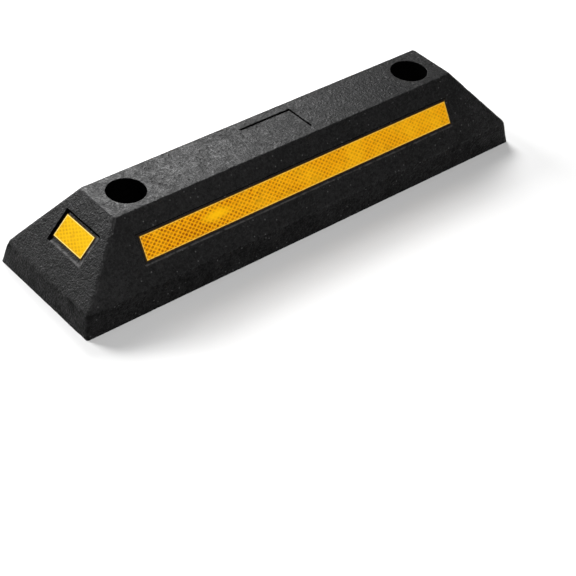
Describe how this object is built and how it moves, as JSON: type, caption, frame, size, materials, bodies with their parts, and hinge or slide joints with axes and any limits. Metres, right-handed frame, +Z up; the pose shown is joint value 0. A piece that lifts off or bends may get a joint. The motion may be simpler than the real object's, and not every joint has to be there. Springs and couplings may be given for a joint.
{
  "type": "parking wheel stop",
  "caption": "Low moulded rubber wheel stop with sloped sides, yellow reflective tape in side and end recesses, and deep anchor holes through its flat top.",
  "frame": {"origin": "centre of the base, on the ground plane", "axes": "+X along the stop from the left anchor hole to the right one; +Y towards the rear slope; +Z up from the ground"},
  "size_m": [0.56, 0.145, 0.088],
  "materials": {
    "moulded_rubber": "matt black moulded recycled rubber with a fine crumb texture",
    "reflective_film": "glossy yellow retroreflective film with a diamond cell pattern",
    "adhesive": "thin grey pressure-sensitive adhesive layer",
    "zinc_plated_steel": "dull zinc plating"
  },
  "bodies": {
    "root": {"rubber_body": "moulded_rubber", "front_reflective_strip": "reflective_film", "rear_reflective_strip": "reflective_film", "left_end_reflector": "reflective_film", "right_end_reflector": "reflective_film", "front_strip_adhesive": "adhesive", "rear_strip_adhesive": "adhesive", "left_end_adhesive": "adhesive", "right_end_adhesive": "adhesive", "left_seat_washer": "zinc_plated_steel", "right_seat_washer": "zinc_plated_steel"}
  },
  "joints": []
}
